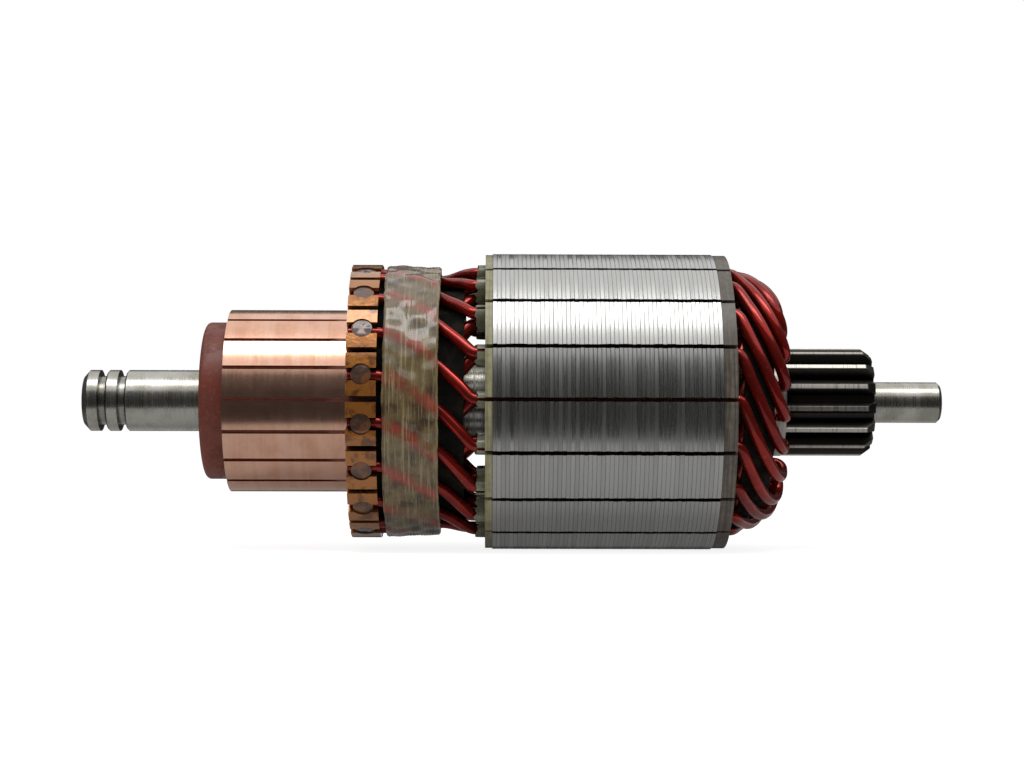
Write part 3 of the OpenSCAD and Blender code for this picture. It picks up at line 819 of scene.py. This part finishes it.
def makeBand(size, material):
    # Closed section round the shaft: outer face, rim, inner face, rim
    rng = np.random.default_rng(size["seed"])
    angle = np.arange(size["aroundPoints"]) * tau / size["aroundPoints"]
    n = size["acrossPoints"]
    v = np.linspace(0, 1, n)
    low = bandLow[0] + size["inset"] + size["ragged"] * aroundNoise(rng, angle, 60, 30) * 0.6
    high = bandHigh[0] - size["inset"] + size["ragged"] * aroundNoise(rng, angle, 70, 40) * 0.5
    x = low[:, None] + (high - low)[:, None] * v[None]
    share = (x - bandLow[0]) / (bandHigh[0] - bandLow[0])
    # Distance across the nearest lead below, in millimetres, then 1 over it and 0 away from it
    phase = (angle[:, None] + leadAngle(x)) / slotPitch
    away = np.abs(phase - np.round(phase)) * slotPitch * leadRadius(x) * size["crossing"]
    over = np.exp(-(away / size["reach"]) ** 2)
    ridge = sum(
        np.sin(tau * f * (x + 0.5 * np.sin(order * angle + turn)[:, None] / order) + phaseX)
        for f, order, turn, phaseX in zip(rng.uniform(0.7, 3.2, 9), rng.integers(2, 12, 9),
                                          rng.uniform(0, tau, 9), rng.uniform(0, tau, 9))) / 3
    lumps = sum(
        np.sin(order * angle + turn)[:, None] * np.sin(f * x + phaseX) / 2
        for order, turn, f, phaseX in zip(rng.integers(5, 46, 14), rng.uniform(0, tau, 14),
                                          rng.uniform(0.2, 1.3, 14), rng.uniform(0, tau, 14)))
    outer = size["outerRadius"] - size["fall"] * share + size["overWire"] * (over - 0.5) \
        + size["lumps"] * lumps * 0.55 + size["ridge"] * ridge
    rim = np.minimum(smoothStep(v / 0.04), smoothStep((1 - v) / 0.03))
    outer = outer - size["rimDrop"] * (1 - rim)[None]
    inner = leadRadius(x) + winding["wireDiameter"] / 2 + size["clearance"]
    outer = np.maximum(outer, inner + size["thinnest"])
    points = np.concatenate([roundPoint(x, outer, angle[:, None]), roundPoint(x[:, ::-1], inner[:, ::-1],
                                                                          angle[:, None])], 1)
    below = np.concatenate([over, over[:, ::-1] * 0], 1)
    rimMask = np.concatenate([np.broadcast_to(smoothStep((v - 0.955) / 0.03), x.shape),
                              np.zeros_like(x)], 1)
    faces = gridFaces(size["aroundPoints"], 2 * n, wrapRows=True).tolist()
    piece = meshPiece("glass_fibre_band", points, faces, material, sharp=50,
                      attributes={"wireBelow": below, "rim": rimMask})
    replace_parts(piece, "binding_band")


makeBand(band, makeBandMaterial(bandLook))
print("band made")


# ---- resin in the welding recesses ----

resin = {
    "radius": 1.93, "rim": 0.05, "depth": 0.42, "centre": 0.2, "lump": 0.09, "riserRadius": 26.8,
    "sides": 36, "rings": 9, "seed": 17,
}
resinLook = {"amber": (0.17, 0.055, 0.010), "burnt": (0.050, 0.016, 0.006), "roughness": 0.22}


def makeResinMaterial(look):
    material, tree, shader, place = newMaterial(
        "weldResin", {"Coat Weight": 1.0, "Coat Roughness": 0.05})
    burnt = effect(tree, "mottle", Vector=place, Scale=520.0, Low=0.35, High=0.6)
    feed(tree, shader, colour=mixColour(tree, burnt, look["amber"], look["burnt"]))
    feed(tree, shader, roughness=mapRange(tree, burnt, 0.0, 1.0, look["roughness"], look["roughness"] + 0.25))
    bump(tree, shader, noise(tree, place, 1300.0, 2.0), 0.05)
    return material


def makeResin(size, material):
    # Round button in each recess: height falls from the middle to the rim, with a few lumps
    rng = np.random.default_rng(size["seed"])
    turn = np.arange(size["sides"]) * tau / size["sides"]
    share = np.linspace(0, 1, size["rings"] + 1)[1:]
    centreX = barHigh[0] - barLook["riserWidth"] / 2
    pieces, faces, base = [], [], 0
    for k in range(slotCount):
        lean = rng.uniform(-0.06, 0.06, 2)
        fade = share ** 2 * np.sin(math.pi * share)
        lump = aroundNoise(rng, turn, 6, 5)[None] * size["lump"] * fade[:, None]
        height = -size["centre"] * (0.6 + 0.8 * rng.random()) - 0.12 * share[:, None] ** 4 + lump
        u = size["radius"] * share[:, None] * np.cos(turn)
        w = size["radius"] * share[:, None] * np.sin(turn)
        height = np.minimum(height + lean[0] * u + lean[1] * w, -size["rim"])
        top = np.stack([u, w, height], -1)
        foot = top[-1] * [1, 1, 0] + [0, 0, -size["depth"]]
        local = np.concatenate([top.reshape(-1, 3), foot, [[0, 0, height[0].mean()], [0, 0, -size["depth"]]]])
        angle = (k + 0.5) * slotPitch
        radial = size["riserRadius"] + local[:, 2]
        y = local[:, 1] * math.sin(angle) - radial * math.cos(angle)
        z = -local[:, 1] * math.cos(angle) - radial * math.sin(angle)
        pieces.append(np.stack([centreX + local[:, 0], y, z], -1))
        n, rows = size["sides"], size["rings"] + 1
        faces += (gridFaces(rows, n) + base).tolist()
        tip, bottom = base + rows * n, base + rows * n + 1
        faces += [[tip, base + (j + 1) % n, base + j] for j in range(n)]
        last = base + (rows - 1) * n
        faces += [[bottom, last + j, last + (j + 1) % n] for j in range(n)]
        base += rows * n + 2
    return meshPiece("weld_buttons", np.concatenate(pieces), faces, material, sharp=50)


makeResin(resin, makeResinMaterial(resinLook))
print("risers made")


# ---- studio: floor, white world, lamps and reflection cards ----

studio = {
    "floorSize": 6.0, "floorColour": (0.8, 0.8, 0.79), "shadowShare": 0.4,
    "floorWhite": 0.86, "floorMirrored": 0.16,
    "ambient": 0.55, "keyPower": 1.6, "keySize": (0.55, 0.22), "keyElevation": 70.0, "keyDistance": 0.62,
    "cardFoot": (0.155, 0.062), "cardRim": (1.1, 1.0), "cardHeight": 0.72,
    "cardUpper": 0.10, "cardLower": 0.045,
}
camera = {
    "distance": 424.0, "lens": 75.6, "foot": 63.5, "aimX": 67.63, "aimUp": 3.25, "polar": 0.8, "roll": 0.15,
}


def makeWorld(look):
    world = bpy.data.worlds.new("studioWorld")
    bpy.context.scene.world = world
    world.use_nodes = True
    tree = world.node_tree
    tree.nodes.clear()
    path = addNode(tree, "ShaderNodeLightPath")
    seen = mathNode(tree, "MAXIMUM", path.outputs["Is Camera Ray"], path.outputs["Is Glossy Ray"])
    seen = mathNode(tree, "MAXIMUM", seen, path.outputs["Is Transmission Ray"])
    colour = mixColour(tree, seen, (look["ambient"],) * 3, (1.0, 1.0, 1.0))
    shader = addNode(tree, "ShaderNodeBackground", {"Color": colour, "Strength": 1.0})
    addNode(tree, "ShaderNodeOutputWorld", {"Surface": shader.outputs[0]})


def makeFloor(look):
    # White to the camera, mid grey where metal mirrors it, with the object's shadow kept; plain
    # pale paint for the light it bounces
    material = bpy.data.materials.new("paleFloor")
    material.use_nodes = True
    tree = material.node_tree
    tree.nodes.clear()
    path = addNode(tree, "ShaderNodeLightPath")
    seen = mathNode(tree, "MAXIMUM", path.outputs["Is Camera Ray"], path.outputs["Is Glossy Ray"])
    seen = mathNode(tree, "MAXIMUM", seen, path.outputs["Is Transmission Ray"])
    paintShader = addNode(tree, "ShaderNodeBsdfDiffuse", {"Color": (*look["floorColour"], 1)})
    share = look["shadowShare"]
    shadow = addNode(tree, "ShaderNodeBsdfDiffuse", {"Color": (share, share, share, 1)})
    level = mapRange(tree, path.outputs["Is Glossy Ray"], 0.0, 1.0, look["floorWhite"], look["floorMirrored"])
    white = addNode(tree, "ShaderNodeEmission", {"Strength": level})
    both = addNode(tree, "ShaderNodeAddShader", {0: shadow.outputs[0], 1: white.outputs[0]})
    mixed = addNode(tree, "ShaderNodeMixShader", {0: seen, 1: paintShader.outputs[0], 2: both.outputs[0]})
    addNode(tree, "ShaderNodeOutputMaterial", {"Surface": mixed.outputs[0]})
    mesh = bpy.data.meshes.new("floor")
    s, z = look["floorSize"], coreLow[2] * mm
    mesh.from_pydata([(-s, -s, z), (s, -s, z), (s, s, z), (-s, s, z)], [], [(0, 1, 2, 3)])
    mesh.materials.append(material)
    floor = bpy.data.objects.new("floor", mesh)
    bpy.context.scene.collection.objects.link(floor)


def makeCard(look):
    # Dark oval funnel round the object that only reflections see, so that bare metal has contrast
    material = bpy.data.materials.new("darkCard")
    material.use_nodes = True
    tree = material.node_tree
    tree.nodes.clear()
    place = addNode(tree, "ShaderNodeTexCoord").outputs["Object"]
    z = addNode(tree, "ShaderNodeSeparateXYZ", {0: place}).outputs[2]
    level = mapRange(tree, z, -0.02, 0.12, look["cardLower"], look["cardUpper"])
    shader = addNode(tree, "ShaderNodeEmission", {"Strength": level})
    addNode(tree, "ShaderNodeOutputMaterial", {"Surface": shader.outputs[0]})
    centre = (cadBounds[0] + cadBounds[1]) / 2
    t = np.linspace(0, 1, 9)[:, None]
    angle = (np.arange(96) * tau / 96)[None]
    a = look["cardFoot"][0] + (look["cardRim"][0] - look["cardFoot"][0]) * t
    b = look["cardFoot"][1] + (look["cardRim"][1] - look["cardFoot"][1]) * t
    low = coreLow[2] * mm + 0.001
    z = low + (look["cardHeight"] - low) * t ** 1.1 + 0 * angle
    points = np.stack([centre.x + a * np.cos(angle), b * np.sin(angle), z], -1)
    mesh = bpy.data.meshes.new("darkCard")
    mesh.from_pydata(points.reshape(-1, 3).tolist(), [], gridFaces(9, 96).tolist())
    mesh.materials.append(material)
    card = bpy.data.objects.new("darkCard", mesh)
    bpy.context.scene.collection.objects.link(card)
    for ray in ("camera", "diffuse", "transmission", "volume_scatter", "shadow"):
        setattr(card, f"visible_{ray}", False)


def addLamp(name, power, size, place, target):
    data = bpy.data.lights.new(name, "AREA")
    data.energy = power
    data.shape = "RECTANGLE"
    data.size, data.size_y = size
    lamp = bpy.data.objects.new(name, data)
    bpy.context.scene.collection.objects.link(lamp)
    lamp.location = place
    lamp.rotation_euler = (Vector(target) - Vector(place)).to_track_quat("-Z", "Y").to_euler()


def makeCamera(view):
    data = bpy.data.cameras.new("camera")
    data.lens = view["lens"]
    data.sensor_width = 36
    made = bpy.data.objects.new("camera", data)
    bpy.context.scene.collection.objects.link(made)
    angle = math.radians(view["polar"])
    back = view["distance"] * mm
    place = Vector((view["foot"] * mm, -back * math.cos(angle), -back * math.sin(angle)))
    aim = Vector((view["aimX"] * mm, 0, view["aimUp"] * mm))
    forward = (aim - place).normalized()
    roll = math.radians(view["roll"])
    up = Vector((-math.sin(roll), 0, math.cos(roll)))
    right = forward.cross(up).normalized()
    up = right.cross(forward)
    made.matrix_world = Matrix([[right[i], up[i], -forward[i], place[i]] for i in range(3)] + [[0, 0, 0, 1]])
    bpy.context.scene.camera = made


makeWorld(studio)
makeFloor(studio)
makeCard(studio)
centreX = (cadBounds[0].x + cadBounds[1].x) / 2
lampAngle = math.radians(studio["keyElevation"])
addLamp("keyLamp", studio["keyPower"], studio["keySize"],
        (centreX, -studio["keyDistance"] * math.cos(lampAngle), studio["keyDistance"] * math.sin(lampAngle)),
        (centreX, 0, 0))
makeCamera(camera)
bpy.context.scene.view_settings.view_transform = "Standard"

print("scene ready")
